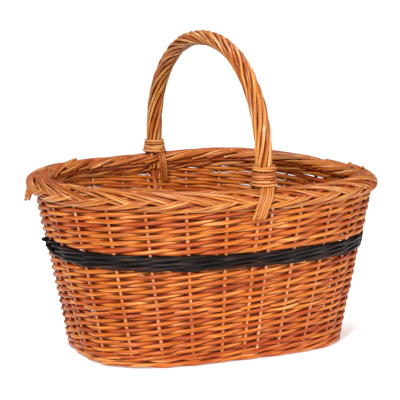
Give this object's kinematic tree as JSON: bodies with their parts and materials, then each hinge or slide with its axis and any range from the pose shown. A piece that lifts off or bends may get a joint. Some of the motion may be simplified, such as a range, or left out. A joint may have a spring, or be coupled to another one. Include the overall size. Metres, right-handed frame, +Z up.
{
  "type": "wicker basket",
  "caption": "Oval woven willow shopping basket with splayed sides, a dark waled band, a plaited border and a fixed roped bow handle.",
  "frame": {"origin": "on the plane the basket rests on, under the middle of the oval", "axes": "+X along the long axis of the oval, +Y across it in the plane of the handle's bow, +Z up"},
  "size_m": [0.44, 0.3762, 0.3978],
  "materials": {
    "siding": "varnished peeled and buffed willow, honey orange, satin",
    "dark_band": "stained near-black willow, satin",
    "border": "varnished willow, lighter golden, satin",
    "roping": "varnished willow, golden, satin",
    "binding": "thin varnished willow, golden, satin",
    "stakes": "varnished willow, reddish brown, satin"
  },
  "bodies": {
    "root": {"base_sticks_short": "stakes", "base_sticks_long": "stakes", "base_weave": "siding", "upsett_wale": "siding", "side_stakes": "stakes", "handle_stakes": "stakes", "siding_first_set": "siding", "siding_second_set": "siding", "dark_wale": "dark_band", "siding_top_set": "siding", "border": "border", "handle_bow": "stakes", "roping_near": "roping", "roping_far": "roping", "collar_near": "binding", "collar_far": "binding", "outer_tails_near": "roping", "outer_tails_far": "roping", "inner_tails_near": "roping", "inner_tails_far": "roping"}
  },
  "joints": []
}
